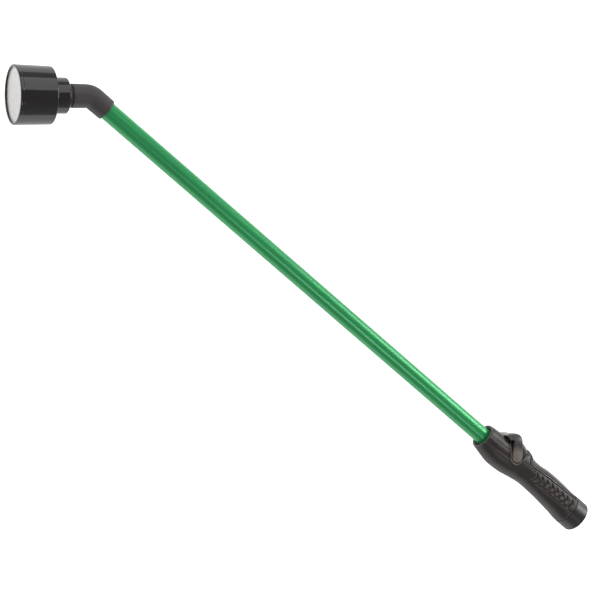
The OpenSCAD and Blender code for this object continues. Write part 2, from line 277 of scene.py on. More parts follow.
# Place along X, height to the back, height to the belly, half width
GRIP = np.array([
    (18.5, 18.2, 18.2, 18.2), (30, 18.6, 16.5, 16.6), (42, 19.3, 15.2, 15.6), (56, 19.6, 14.1, 15.2),
    (68, 19.2, 13.5, 15), (80, 17.9, 13.2, 15), (88, 18, 13.5, 15.2), (94, 19, 14.3, 15.8),
    (98, 20.1, 15, 16.2), (103, 21.7, 15.9, 16.8), (108.5, 18, 16.9, 17.4), (114, 17.2, 17.9, 17.6),
    (121, 17.1, 18.6, 17.6), (130, 16.2, 19, 17.2), (136, 15.5, 18.8, 16.6), (144, 15.6, 17.6, 15.9),
    (152, 15.3, 16, 15.2), (157, 15, 15.1, 14.9), (160, 14.4, 14.4, 14.4)])
GRIP_START, GRIP_END = GRIP[0, 0], GRIP[-1, 0]
pivot = np.array(joints["lever_turn"]["pos_m"]) / MM
swing = joints["lever_turn"]["range_deg"][1]
# How far the open lever leans forwards, half an arm's width and its room in the pocket, and the
# pocket floor's distance from the middle plane
lean = 34
arm_half, arm_room = 6.6, 0.35
pocket_z = 14.0
# The crowned drum under the thumb pad: its radius, how much lower its sides are, and its half width
drum_r, drum_drop, drum_half = 20.4, 4.4, 13.5
# What the pad sweeps: its inner radius, and how far from upright the cut reaches behind and ahead
sweep_r = 21.1
sweep_tail, sweep_front = 36, 63


def grip_rows(x):
    """Heights to back and belly and half width at each x, by smooth curves through GRIP's rows."""
    rows = np.clip(np.searchsorted(GRIP[:, 0], x, side="right") - 1, 0, len(GRIP) - 2)
    p, q, r, s = (GRIP[np.clip(rows + k, 0, len(GRIP) - 1)] for k in (-1, 0, 1, 2))
    t = ((x - q[:, 0]) / (r[:, 0] - q[:, 0]))[:, None]
    curve = 0.5 * (2 * q + (r - p) * t + (2 * p - 5 * q + 4 * r - s) * t ** 2
                   + (3 * q - p - 3 * r + s) * t ** 3)
    return curve[:, 1], curve[:, 2], curve[:, 3]


def squareness(x):
    """The power of the section's curve: 2 is an ellipse at both ends, and more is squarer."""
    middle_extra, blend_length = 0.3, 20
    from_end = np.minimum(x - GRIP_START, GRIP_END - x)
    return 2 + middle_extra * np.clip(from_end / blend_length, 0, 1)


def grip_surface(x, angle):
    """The plain grip at places x and angles round it from the belly: y, z and the outward normal."""
    back, belly, width = grip_rows(x)
    power = squareness(x)
    middle, height = (belly - back) / 2, (belly + back) / 2
    c, s = np.cos(angle), np.sin(angle)
    y = middle + height * np.sign(c) * np.abs(c) ** (2 / power)
    z = width * np.sign(s) * np.abs(s) ** (2 / power)
    ny = np.sign(c) * np.abs((y - middle) / height) ** (power - 1) / height
    nz = np.sign(s) * np.abs(z / width) ** (power - 1) / width
    size = np.hypot(ny, nz) + 1e-12
    return y, z, ny / size, nz / size


def step(edge, width, value):
    """0 below the edge, 1 above it, turning smoothly over the width."""
    t = np.clip((value - edge) / width + 0.5, 0, 1)
    return t * t * (3 - 2 * t)


def span(start, start_fade, end, end_fade, value):
    """1 between start and end, falling smoothly to 0 outside them."""
    return step(start, start_fade, value) * step(-end, end_fade, -value)


def ridge(value, width):
    """A soft hump, 1 high at 0 and nearly gone at twice the width."""
    return np.exp(-(value / width) ** 2)


def pocket_distance(x, y):
    """Distance outside the outline that an arm sweeps between open and closed, below 0 inside."""
    dx, dy = x - pivot[0], y - pivot[1]
    radius = np.hypot(dx, dy)
    angle = np.degrees(np.arctan2(dx, -dy))
    inside = (angle > lean - swing) & (angle < lean)
    best = np.where(inside, -radius, radius)
    for tilt in (lean, lean - swing):
        u = np.radians(tilt)
        reach = dx * np.sin(u) - dy * np.cos(u)
        across = np.abs(dx * np.cos(u) + dy * np.sin(u))
        away = np.where(reach > 0, across, radius)
        best = np.where(inside, np.maximum(best, -away), np.minimum(best, away))
    return np.where(inside, np.minimum(best, 0), best) - arm_half - arm_room


# The inlay's lower edge on the side of the grip
INLAY_EDGE = np.array([(21, -10.5), (66, -8.6), (90, -6.2), (96, -6), (99.5, -8.2), (101, -11.5)])
INLAY_START, INLAY_END = 21.0, 98.5
inlay_depth = 1.3


def inlay_edge(x):
    """Height of the inlay's lower edge at each x."""
    return np.interp(x, INLAY_EDGE[:, 0], INLAY_EDGE[:, 1])


def finger_ribs(x, y):
    """Soft pads with a bowed groove between each two, and the line that closes them off below."""
    rib_pitch, first_rib, last_rib = 8.0, 78.7, 20.5
    pad_height, groove_depth, groove_width, most_bow = 1.0, 2.1, 1.5, 1.9
    lowest_y, lowest_x, end_rise, row_half = 1.6, 46, 3.4, 32
    rib_low = lowest_y + end_rise * ((x - lowest_x) / row_half) ** 2
    rib_high = inlay_edge(x) + 2.4
    middle, half = (rib_low + rib_high) / 2, (rib_low - rib_high) / 2
    bow = most_bow * (1 - np.clip((y - middle) / half, -1, 1) ** 2)
    phase = ((first_rib - x - bow) / rib_pitch) % 1.0
    groove = ridge((phase - 0.5) * rib_pitch, groove_width)
    window = span(rib_high, 1.6, rib_low, 2.4, y) * span(last_rib - 2.5, 2, first_rib + 5, 5, x)
    line_depth, line_drop, line_width = 0.6, 0.6, 1.0
    line = ridge(y - rib_low - line_drop, line_width) * span(last_rib, 4, first_rib, 4, x)
    return window * (pad_height - groove_depth * groove) - line_depth * line


def side_lines(x, y):
    """The long soft swell under the ribs and the raised crease on the valve's flank."""
    swell_height, swell_y, swell_width = 0.55, 6.6, 1.6
    swell = swell_height * ridge(y - swell_y, swell_width) * span(24, 8, 76, 8, x)
    crease_height, crease_width, crease_start = 0.45, 0.6, 113
    crease_y = 5.6 + 0.034 * (x - 116)
    return swell + crease_height * ridge(y - crease_y, crease_width) * step(crease_start, 4, x)


def pocket_bead(x, y):
    """The raised bead round each lever pocket, which runs out towards the back."""
    bead_height, bead_away, bead_width, bead_reach = 0.9, 1.5, 0.75, 16
    bead = ridge(pocket_distance(x, y) - bead_away, bead_width)
    return bead_height * bead * step(-bead_reach, 6, -np.abs(x - pivot[0])) * step(-9, 3, y)


def inlay_recess(x, y):
    """1 where the cover is let down for the inlay, 0 elsewhere."""
    margin, wall = 0.6, 0.4
    below_edge = step(-inlay_edge(x) - 0.1, wall, -y)
    return below_edge * span(INLAY_START - margin, wall, INLAY_END + margin + 1, wall, x)


def side_relief(x, y, z):
    """How far the cover's moulded details stand out of the plain grip."""
    flank, flank_fade = 9, 3
    details = finger_ribs(x, y) + side_lines(x, y) + pocket_bead(x, y)
    return details * step(flank, flank_fade, np.abs(z)) - inlay_depth * inlay_recess(x, y)


def cover_rows(x, angle):
    """Points of the cover's outside on a grid of places and angles."""
    y, z, ny, nz = grip_surface(x, angle)
    relief = side_relief(x, y, z)
    y, z = y + relief * ny, z + relief * nz
    # The pocket's floor, with a short sloping wall round it
    wall_middle, wall = 0.15, 0.7
    gap = step(wall_middle, wall, pocket_distance(x, y))
    z = np.sign(z) * np.where(np.abs(z) > pocket_z, pocket_z + (np.abs(z) - pocket_z) * gap, np.abs(z))
    # The crowned drum under the thumb pad, which fills the back out where the grip is lower
    dx = x - pivot[0]
    crown = drum_r - drum_drop * (1 - np.sqrt(np.clip(1 - (z / drum_half) ** 2, 0, 1)))
    rise = np.sqrt(np.maximum(crown ** 2 - dx ** 2, 0)) * (np.abs(z) < drum_half - 0.1)
    y = np.where(y < 0, np.minimum(y, pivot[1] - rise), y)
    # The back is cut away where the pad sweeps, with the cut's corner softened
    limits = np.tan(np.radians(90 - np.where(dx < 0, sweep_tail, sweep_front)))
    limit = np.maximum(np.sqrt(np.maximum(sweep_r ** 2 - dx ** 2, 0)), np.abs(dx) * limits)
    height, limit = -y, limit - pivot[1]
    corner, back_from = 1.2, 4
    near = np.clip(0.5 + (limit - height) / corner, 0, 1)
    clipped = height * near + limit * (1 - near) - corner / 2 * near * (1 - near)
    return np.where(height > back_from, -clipped, y), z


along = 330
around = 240
angles = np.linspace(0, 2 * math.pi, around, endpoint=False)
lip_length = 1.2
edge_length, edge_slope = 0.7, 0.8
rings = []
for x in np.linspace(GRIP_START, GRIP_END - lip_length, along):
    y, z = cover_rows(np.full(around, x), angles)
    inset = max(0.0, edge_length - (x - GRIP_START)) * edge_slope
    scale = 1 - inset / GRIP[0, 3]
    rings.append(np.column_stack([np.full(around, x), y * scale, z * scale]))
# The rounded lip and funnel round the tube, as distances back from the end and radii
lip = [(0.5, 14.35), (0.15, 14.05), (0, 13.6), (0.1, 13.15), (0.5, 12.7), (2.8, 10.5), (3.4, 10.1),
       (3.8, 9.9), (4.4, 9.9)]
round_rings = [(GRIP_END - back, radius) for back, radius in lip]
# The cover's inner wall: over the tube socket, the valve chamber and the inlet passage
socket_wall, chamber_wall, passage_wall = 12.7, 14.2, 12.2
round_rings += [(155.6, socket_wall), (132.5, socket_wall), (132, chamber_wall), (104, chamber_wall),
                (103.5, passage_wall), (GRIP_START, passage_wall)]
for x, radius in round_rings:
    rings.append(np.column_stack([np.full(around, x), radius * np.cos(angles),
                                  radius * np.sin(angles)]))

# Soft thermoplastic rubber: a matt dark warm grey with a fine moulded grain, coloured a little lighter
# on its sharpest convex crests.
rubber, tree, shader, place = start_material("soft_moulded_rubber")
skin_grain = 0.45 * MM
grain = add(tree, "ShaderNodeTexNoise", {"Vector": place, "Scale": 1 / skin_grain, "Detail": 5})
patch = add(tree, "ShaderNodeTexNoise", {"Vector": place, "Scale": 1 / (12 * MM), "Detail": 3})
convexity = add(tree, "ShaderNodeNewGeometry").outputs["Pointiness"]
edges = add(tree, "ShaderNodeMapRange", {"Value": convexity, "From Min": 0.5, "From Max": 0.54})
grey = add(tree, "ShaderNodeMix", {"Factor": patch.outputs["Fac"], "A": linear("#262221"),
                                   "B": linear("#302b2a")}, data_type="RGBA")
# A lighter grey on the sharpest convex crests.
crest_tone = add(tree, "ShaderNodeMix", {"Factor": edges.outputs[0], "A": grey.outputs["Result"],
                                     "B": linear("#5d5654")}, data_type="RGBA")
tree.links.new(crest_tone.outputs["Result"], shader.inputs["Base Color"])
rough = add(tree, "ShaderNodeMapRange", {"Value": patch.outputs["Fac"], "To Min": 0.34,
                                         "To Max": 0.46})
tree.links.new(rough.outputs[0], shader.inputs["Roughness"])
bump = add(tree, "ShaderNodeBump", {"Height": grain.outputs["Fac"], "Strength": 0.12,
                                    "Distance": 0.08 * MM})
tree.links.new(bump.outputs[0], shader.inputs["Normal"])
calm_rim(tree, shader, 0.3)
make_piece("grip_rubber_cover", np.vstack(rings), loop_faces(len(rings), around), "root",
           ["grip_cover"], "grip_rubber", rubber, 70)


# ---- Grip inlay ----
# A harder panel let into the back of the grip. Two polished beads follow its edge, with a groove
# between them, and the middle is plain satin.

rows, columns = 220, 130
v, u = np.meshgrid(np.linspace(0, 1, rows), np.linspace(-1, 1, columns), indexing="ij")
front_bow = 2.3
front_end = INLAY_END + front_bow * np.sin(math.pi * np.abs(u)) ** 0.8
x = INLAY_START + v * (front_end - INLAY_START)
back, belly = (part.reshape(x.shape) for part in grip_rows(x.ravel())[:2])
middle, height = (belly - back) / 2, (belly + back) / 2
reach = np.clip((middle - inlay_edge(x)) / height, 0, 1) ** (squareness(x) / 2)
edge_angle = np.arccos(reach)
angle = math.pi + u * edge_angle
y, z, ny, nz = (part.reshape(x.shape) for part in grip_surface(x.ravel(), angle.ravel()))
# Distance in from the panel's edge, with the corners softened
grip_radius, softness = 16.5, 0.8
from_side = (1 - np.abs(u)) * edge_angle * grip_radius
from_front = front_end - x
edge = -np.log(np.exp(-from_side / softness) + np.exp(-from_front / softness)) * softness
bead_height, outer_bead, inner_bead = 0.6, 1.0, 3.8
groove_depth, groove_middle = 0.7, 2.4
panel_drop, panel_start, panel_crown = 0.5, 4.7, 0.25
relief = bead_height * (ridge(edge - outer_bead, 0.5) + ridge(edge - inner_bead, 0.6))
relief -= groove_depth * (ridge(edge - groove_middle, 0.6) + ridge(edge, 0.4))
relief += panel_crown * step(8, 6, edge) - panel_drop * step(panel_start, 1.0, edge)
outer = np.stack([x, y + relief * ny, z + relief * nz], 2).reshape(-1, 3)
inner = np.stack([x, y - inlay_depth * ny, z - inlay_depth * nz], 2).reshape(-1, 3)
grid = np.arange(rows * columns).reshape(rows, columns)
faces = []
for i in range(rows - 1):
    for j in range(columns - 1):
        quad = (grid[i, j], grid[i, j + 1], grid[i + 1, j + 1], grid[i + 1, j])
        faces.append(tuple(int(k) for k in quad[::-1]))
        faces.append(tuple(int(k) + rows * columns for k in quad))
rim = np.concatenate([grid[0, :-1], grid[:-1, -1], grid[-1, :0:-1], grid[:0:-1, 0]])
for a, b in zip(rim.tolist(), np.roll(rim, -1).tolist()):
    faces.append((a, b, b + rows * columns, a + rows * columns))

# Polished polypropylene: the same warm black as the grip, but smooth. The crests of the beads carry a
# painted highlight, a pale grey, so they show as thin bright lines.
polished, tree, shader, place = start_material("polished_black_polypropylene")
patch = add(tree, "ShaderNodeTexNoise", {"Vector": place, "Scale": 1 / (9 * MM), "Detail": 3})
black = add(tree, "ShaderNodeMix", {"Factor": patch.outputs["Fac"], "A": linear("#2e2b2c"),
                                    "B": linear("#383435")}, data_type="RGBA")
convex = add(tree, "ShaderNodeNewGeometry").outputs["Pointiness"]
crest = add(tree, "ShaderNodeMapRange", {"Value": convex, "From Min": 0.51, "From Max": 0.56})
# Painted highlight: the bead crests are coloured pale grey.
painted_crest_highlight = add(tree, "ShaderNodeMix", {"Factor": crest.outputs[0], "A": black.outputs["Result"],
                                     "B": linear("#a9a6a3")}, data_type="RGBA")
tree.links.new(painted_crest_highlight.outputs["Result"], shader.inputs["Base Color"])
rough = add(tree, "ShaderNodeMapRange", {"Value": patch.outputs["Fac"], "To Min": 0.14,
                                         "To Max": 0.22})
tree.links.new(rough.outputs[0], shader.inputs["Roughness"])
bump = add(tree, "ShaderNodeBump", {"Height": patch.outputs["Fac"], "Strength": 0.05,
                                    "Distance": 0.1 * MM})
tree.links.new(bump.outputs[0], shader.inputs["Normal"])
make_piece("grip_back_inlay", np.vstack([outer, inner]), faces, "root", ["grip_inlay"],
           "inlay_plastic", polished, 60)


# ---- Lever ----
# A moulded yoke: two arms snapped over the square ends of the valve stem, and a broad thumb pad
# that joins them over the back of the handle. Its edges are all rounded.

def softened(name, source, voxel, passes):
    """A copy of a CAD node's shape with every edge rounded, as a new object's mesh."""
    mesh = nodes[source].data.copy()
    mesh.materials.clear()
    worker = bpy.data.objects.new(name + "_worker", mesh)
    bpy.context.scene.collection.objects.link(worker)
    weld = worker.modifiers.new("weld", "WELD")
    weld.merge_threshold = 0.002 * MM
    remesh = worker.modifiers.new("remesh", "REMESH")
    remesh.mode = "VOXEL"
    remesh.voxel_size = voxel * MM
    smooth = worker.modifiers.new("smooth", "SMOOTH")
    smooth.factor = 0.5
    smooth.iterations = passes
    graph = bpy.context.evaluated_depsgraph_get()
    result = bpy.data.meshes.new_from_object(worker.evaluated_get(graph))
    bpy.data.objects.remove(worker)
    return result


# Moulded acetal: a smooth dark satin, with a painted highlight: a lighter grey painted round the hub,
# over the flat ends of the arms.
acetal_with_painted_highlight, tree, shader, place = start_material("black_acetal_painted_highlight")
flat_place = add(tree, "ShaderNodeVectorMath", {0: place, 1: (1, 1, 0)}, operation="MULTIPLY")
hub = (pivot[0] * MM, pivot[1] * MM, 0)
from_hub = add(tree, "ShaderNodeVectorMath", {0: flat_place.outputs[0], 1: hub},
               operation="DISTANCE").outputs["Value"]
patch = add(tree, "ShaderNodeTexNoise", {"Vector": place, "Scale": 1 / (5 * MM), "Detail": 4})
uneven = add(tree, "ShaderNodeMath", {0: patch.outputs["Fac"], 1: 4 * MM, 2: from_hub},
             operation="MULTIPLY_ADD").outputs[0]
# The painted highlight is full near the hub and fades out between these two distances.
highlight_full, highlight_end = 8 * MM, 15 * MM
near_hub = add(tree, "ShaderNodeMapRange", {"Value": uneven, "From Min": highlight_full,
                                            "From Max": highlight_end, "To Min": 1, "To Max": 0})
black = add(tree, "ShaderNodeMix", {"Factor": patch.outputs["Fac"], "A": linear("#302c2c"),
                                    "B": linear("#3d3838")}, data_type="RGBA")
# Painted highlight: a pale grey tone mixed in round the hub.
painted_highlight_tone = add(tree, "ShaderNodeMix", {"Factor": near_hub.outputs[0], "A": black.outputs["Result"],
                                        "B": linear("#6a625c")}, data_type="RGBA")
tree.links.new(painted_highlight_tone.outputs["Result"], shader.inputs["Base Color"])
rough = add(tree, "ShaderNodeMapRange", {"Value": patch.outputs["Fac"], "To Min": 0.28,
                                         "To Max": 0.42})
tree.links.new(rough.outputs[0], shader.inputs["Roughness"])
bump = add(tree, "ShaderNodeBump", {"Height": patch.outputs["Fac"], "Strength": 0.06,
                                    "Distance": 0.1 * MM})
tree.links.new(bump.outputs[0], shader.inputs["Normal"])
voxel, passes = 0.35, 6
lever_mesh = softened("lever", "lever", voxel, passes)
points = np.array([vertex.co for vertex in lever_mesh.vertices]) / MM
faces = [tuple(face.vertices) for face in lever_mesh.polygons]
dx, dy = points[:, 0] - pivot[0], points[:, 1] - pivot[1]
radius = np.hypot(dx, dy)
# A low boss swells each arm's outer face over the stem
boss_height, boss_r, arm_face = 0.5, 4.2, 17
boss = boss_height * ridge(radius - 1, boss_r) * (np.abs(points[:, 2]) > arm_face)
points[:, 2] += np.sign(points[:, 2]) * boss
# A shallow dish in the pad takes the thumb: its middle and half width in degrees, half width in mm
dish_depth, dish_middle, dish_turn, dish_half, pad_from = 0.5, 40, 12, 7, 24
pad_angle = np.degrees(np.arctan2(dx, -dy))
dish = dish_depth * ridge(points[:, 2], dish_half) * ridge(pad_angle - dish_middle, dish_turn)
dish *= radius > pad_from
points[:, 0] -= dish * dx / radius
points[:, 1] -= dish * dy / radius
make_piece("thumb_lever_yoke", points, faces, "thumb_lever", ["lever"], "lever_plastic",
           acetal_with_painted_highlight, 80)


# ---- Elbow ----
# One moulded bend: a socket for the tube, an easy 40 degree curve and a threaded nose for the
# shower head. A slim spigot inside reaches into the tube and carries its O-ring.

bend = math.degrees(math.atan2(joints["breaker_turn"]["axis"][1], joints["breaker_turn"]["axis"][0]))
vertex = joints["breaker_turn"]["pos_m"][0] / MM
head_axis = np.array([math.cos(math.radians(bend)), math.sin(math.radians(bend)), 0])
bend_r = 13.5
tangent = bend_r * math.tan(math.radians(bend / 2))
arc_length = bend_r * math.radians(bend)
turn_start = vertex - tangent
nose_shift = turn_start + arc_length - tangent


def elbow_place(s):
    """Centre and sideways direction of the elbow's line, s millimetres from the inlet's mouth."""
    if s <= turn_start:
        return np.array([s, 0, 0]), np.array([0, 1, 0])
    a = min((s - turn_start) / bend_r, math.radians(bend))
    centre = np.array([turn_start + bend_r * math.sin(a), bend_r * (1 - math.cos(a)), 0])
    extra = max(0.0, s - turn_start - arc_length)
    return centre + extra * head_axis, np.array([-math.sin(a), math.cos(a), 0])


spigot_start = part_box("elbow")[0].x / MM
socket_start = vertex - 21.7
leg_end, nose_end = nose_shift + 20.7, nose_shift + 34.4
leg_r, leg_growth, leg_round = 11.45, 0.55, 2.2
nose_r, nose_neck_r = 9.95, 10.2
bore_r, spigot_r, socket_r = 6.2, 8.2, 9.6
spigot_root = vertex - 5.4
elbow_line = [(socket_start, leg_r - 0.95), (socket_start + 0.35, leg_r - 0.45),
              (socket_start + 1.1, leg_r - 0.1), (socket_start + leg_round, leg_r)]
elbow_line += [(s, leg_r + leg_growth * (s - socket_start - leg_round) / (leg_end - socket_start - 4))
               for s in np.linspace(socket_start + 3.5, leg_end - 1.6, 34)]
elbow_line += [(leg_end - 0.8, leg_r + 0.45), (leg_end - 0.2, leg_r + 0.1), (leg_end, leg_r - 0.45),
               (leg_end, nose_neck_r), (leg_end + 3.5, nose_neck_r), (leg_end + 3.8, nose_r),
               (nose_end - 0.8, nose_r), (nose_end, nose_r - 0.75), (nose_end, bore_r)]
elbow_line += [(s, bore_r) for s in np.linspace(leg_end, vertex - 6, 20)]
elbow_line += [(spigot_start, bore_r + 0.1), (spigot_start, spigot_r), (spigot_root, spigot_r),
               (spigot_root, socket_r), (socket_start, socket_r)]
count = 128
rounds = np.linspace(0, 2 * math.pi, count, endpoint=False)
points = []
for s, radius in elbow_line:
    centre, side = elbow_place(s)
    points.append(centre + radius * (np.outer(np.cos(rounds), side)
                                     + np.outer(np.sin(rounds), (0, 0, 1))))

# Glass-filled nylon with a coarse spark grain: duller and a little browner than the collar.
grained, tree, shader, place = start_material("grained_brown_black_nylon")
grain = add(tree, "ShaderNodeTexNoise", {"Vector": place, "Scale": 1 / (0.7 * MM), "Detail": 5})
patch = add(tree, "ShaderNodeTexNoise", {"Vector": place, "Scale": 1 / (6 * MM), "Detail": 3})
black = add(tree, "ShaderNodeMix", {"Factor": patch.outputs["Fac"], "A": linear("#343031"),
                                    "B": linear("#423c3e")}, data_type="RGBA")
tree.links.new(black.outputs["Result"], shader.inputs["Base Color"])
rough = add(tree, "ShaderNodeMapRange", {"Value": grain.outputs["Fac"], "To Min": 0.45,
                                         "To Max": 0.62})
tree.links.new(rough.outputs[0], shader.inputs["Roughness"])
bump = add(tree, "ShaderNodeBump", {"Height": grain.outputs["Fac"], "Strength": 0.25,
                                    "Distance": 0.12 * MM})
tree.links.new(bump.outputs[0], shader.inputs["Normal"])
calm_rim(tree, shader, 0.5)
make_piece("bent_elbow", np.vstack(points), loop_faces(len(elbow_line), count), "root", ["elbow"],
           "elbow_plastic", grained, 50)
pipe_pitch = 25.4 / 14
vertex_point = (vertex, 0, 0)
thread_start, thread_end = 25.2, 33.4
thread_root, thread_crest = nose_r - 0.05, 10.5
make_piece("nose_thread", *helix_ridge(thread_start, thread_end, thread_root, thread_crest,
                                       pipe_pitch, bend, vertex_point),
           "root", [], "elbow_plastic", grained, 25)


# ---- Shower head ----
# A polished black shell turned from one moulding: a stepped collar with the thread inside, a round
# shoulder and a barrel that flares slightly to the rim round the spray face.

# Places along the head's axis from the corner of the bend, and radii. The steel sheet sits behind
# the rim, and a spacer in the bore behind it holds the baffle on its ledge.
collar_start, collar_taper, collar_r, collar_bore = 24.0, 2.4, 17.75, 10.6
shoulder_start, shoulder_end, shoulder_round = 38.1, 41.0, 1.3
barrel_r, rim_start, rim_end, rim_r = 28.51, 74.6, 78.7, 29.38
face_seat, face_recess = 74, 77
spacer_bore, baffle_ledge = 26.5, 58
chamber_start, chamber_r = 45, 25
throat_start, thread_stop, throat_r = 40, 37, 6.5
collar_rise = [(collar_start + collar_taper * (1 - math.cos(a)), 12.4 + 5.35 * math.sin(a))
               for a in np.radians(np.linspace(20, 90, 10))]
shoulder_corner = [(shoulder_end + shoulder_round * (1 + math.sin(a)),
                    27.2 + shoulder_round * math.cos(a)) for a in np.radians(np.linspace(-80, 0, 8))]
head_outline = [(collar_start, collar_bore), (collar_start, 12.2), (collar_start + 0.15, 12.9)]
head_outline += collar_rise
head_outline += [(shoulder_start, collar_r), (shoulder_start + 0.3, collar_r + 0.1),
                 (shoulder_start + 0.55, collar_r + 0.4)]
head_outline += shoulder_corner
head_outline += [(42.9, barrel_r), (rim_start, 29.28), (rim_start + 0.25, 29.1),
                 (rim_start + 0.45, 29.1), (rim_start + 0.7, 29.3), (77.5, rim_r), (78.15, 29.25),
                 (78.55, 28.9), (rim_end, 28.4), (rim_end, 27.6), (78.6, 27.2), (78.3, 27.0),
                 (face_recess, 27.0), (face_recess, 27.4), (face_seat, 27.4), (face_seat, spacer_bore),
                 (baffle_ledge, spacer_bore), (baffle_ledge, chamber_r), (chamber_start, chamber_r),
                 (throat_start, throat_r), (thread_stop, throat_r), (thread_stop, collar_bore)]

# Polished ABS: a deep black that mirrors the room softly, with very slight waves from moulding.
gloss, tree, shader, place = start_material("polished_black_abs")
wave = add(tree, "ShaderNodeTexNoise", {"Vector": place, "Scale": 1 / (14 * MM), "Detail": 1})
dust = add(tree, "ShaderNodeTexNoise", {"Vector": place, "Scale": 1 / (1.5 * MM), "Detail": 4})
black = add(tree, "ShaderNodeMix", {"Factor": wave.outputs["Fac"], "A": linear("#201e1f"),
                                    "B": linear("#272425")}, data_type="RGBA")
tree.links.new(black.outputs["Result"], shader.inputs["Base Color"])
rough = add(tree, "ShaderNodeMapRange", {"Value": dust.outputs["Fac"], "To Min": 0.07,
                                         "To Max": 0.11})
tree.links.new(rough.outputs[0], shader.inputs["Roughness"])
bump = add(tree, "ShaderNodeBump", {"Height": wave.outputs["Fac"], "Strength": 0.05,
                                    "Distance": 0.3 * MM})
tree.links.new(bump.outputs[0], shader.inputs["Normal"])
calm_rim(tree, shader, 0.55)
make_piece("shower_head_shell", *lathe(head_outline, vertex_point, bend, 160), "shower_head",
           ["breaker_housing"], "head_plastic", gloss, 40)


# ---- Spray face ----
# A stainless disc punched with rings of 0.9 mm countersunk holes, 6 more in each ring, and pressed
# in behind the rim. The sheet is finely brushed along one way.

hole_r, sink_r, hole_pitch, hole_rings = 0.45, 0.85, 2.38, 11
disc_r, disc_middle, half_sheet, sink_floor = 27.3, 76.5, 0.5, 0.1
disc_corners, hole_corners = 96, 12
hole_places = [(0.0, 0.0)]
for ring in range(1, hole_rings + 1):
    for i in range(6 * ring):
        a = math.pi * i / (3 * ring)
        hole_places.append((ring * hole_pitch * math.cos(a), ring * hole_pitch * math.sin(a)))


def circle_points(cx, cy, radius, corners, height):
    """Corners of a flat ring of points at one height."""
    turns = 2 * math.pi * np.arange(corners) / corners
    return np.column_stack([cx + radius * np.cos(turns), cy + radius * np.sin(turns),
                            np.full(corners, height)])


def punched_sheet(radius, height):
    """Triangles of a flat disc with a hole of the given radius at each place."""
    outline = bpy.data.curves.new("sheet_outline", "CURVE")
    outline.dimensions = "2D"
    outline.fill_mode = "BOTH"
    circles = [circle_points(0, 0, disc_r, disc_corners, 0)]
    circles += [circle_points(cx, cy, radius, hole_corners, 0) for cx, cy in hole_places]
    for ring_points in circles:
        spline = outline.splines.new("POLY")
        spline.points.add(len(ring_points) - 1)
        spline.use_cyclic_u = True
        for k, point in enumerate(ring_points):
            spline.points[k].co = (*point, 1)
    worker = bpy.data.objects.new("sheet_worker", outline)
    bpy.context.scene.collection.objects.link(worker)
    flat = bpy.data.meshes.new_from_object(
        worker.evaluated_get(bpy.context.evaluated_depsgraph_get()))
    bpy.data.objects.remove(worker)
    flat_points = [(v.co.x, v.co.y, height) for v in flat.vertices]
    return flat_points, [tuple(face.vertices) for face in flat.polygons]


points, faces = punched_sheet(sink_r, half_sheet)
back_points, back_faces = punched_sheet(hole_r, -half_sheet)
faces += [tuple(k + len(points) for k in reversed(face)) for face in back_faces]
points += back_points
walls = [[circle_points(0, 0, disc_r, disc_corners, height) for height in (half_sheet, -half_sheet)]]
for cx, cy in hole_places:
    walls.append([circle_points(cx, cy, radius, hole_corners, height) for radius, height in
                  ((hole_r, -half_sheet), (hole_r, sink_floor), (sink_r, half_sheet))])
for wall in walls:
    corners = len(wall[0])
    for k in range(len(wall) - 1):
        first = len(points) + k * corners
        faces += [(first + j, first + (j + 1) % corners, first + corners + (j + 1) % corners,
                   first + corners + j) for j in range(corners)]
    points += [tuple(p) for p in np.vstack(wall)]
side = np.array([-head_axis[1], head_axis[0], 0])
points = np.array(points)
points = (np.array(vertex_point) + np.outer(points[:, 2] + disc_middle, head_axis)
          + np.outer(points[:, 0], side) + np.outer(points[:, 1], (0, 0, 1)))

# Stainless steel, finely brushed: bright, with streaks that soften the reflection along one way.
steel, tree, shader, place = start_material("brushed_stainless_steel")
streak = add(tree, "ShaderNodeMapping", {"Vector": place, "Scale": (1, 1, 0.04)})
grain = add(tree, "ShaderNodeTexNoise", {"Vector": streak.outputs[0], "Scale": 1 / (0.5 * MM),
                                         "Detail": 4})
tone = add(tree, "ShaderNodeMix", {"Factor": grain.outputs["Fac"], "A": linear("#b9b8b6"),
                                   "B": linear("#d2d0cd")}, data_type="RGBA")
tree.links.new(tone.outputs["Result"], shader.inputs["Base Color"])
rough = add(tree, "ShaderNodeMapRange", {"Value": grain.outputs["Fac"], "To Min": 0.30,
                                         "To Max": 0.42})
tree.links.new(rough.outputs[0], shader.inputs["Roughness"])
shader.inputs["Metallic"].default_value = 1.0
make_piece("spray_face_disc", points, faces, "shower_head", ["breaker_face"], "face_steel", steel, 30)


# ---- Valve, liners and seals ----
# The inner pieces keep their CAD shapes: acetal plug, PTFE seats and washers, moulded liners, a hard
# core and black nitrile seals. Little of them shows, and each has its own finish.

def plain_finish(name, dark, light, low_rough, high_rough, grain_mm, strength):
    """A moulded finish: two close tones, an uneven roughness and a fine grain."""
    material, tree, shader, place = start_material(name)
    grain = add(tree, "ShaderNodeTexNoise", {"Vector": place, "Scale": 1 / (grain_mm * MM),
                                             "Detail": 4})
    tone = add(tree, "ShaderNodeMix", {"Factor": grain.outputs["Fac"], "A": linear(dark),
                                       "B": linear(light)}, data_type="RGBA")
    rough = add(tree, "ShaderNodeMapRange", {"Value": grain.outputs["Fac"], "To Min": low_rough,
                                             "To Max": high_rough})
    bump = add(tree, "ShaderNodeBump", {"Height": grain.outputs["Fac"], "Strength": strength,
                                        "Distance": 0.05 * MM})
    tree.links.new(tone.outputs["Result"], shader.inputs["Base Color"])
    tree.links.new(rough.outputs[0], shader.inputs["Roughness"])
    tree.links.new(bump.outputs[0], shader.inputs["Normal"])
    return material


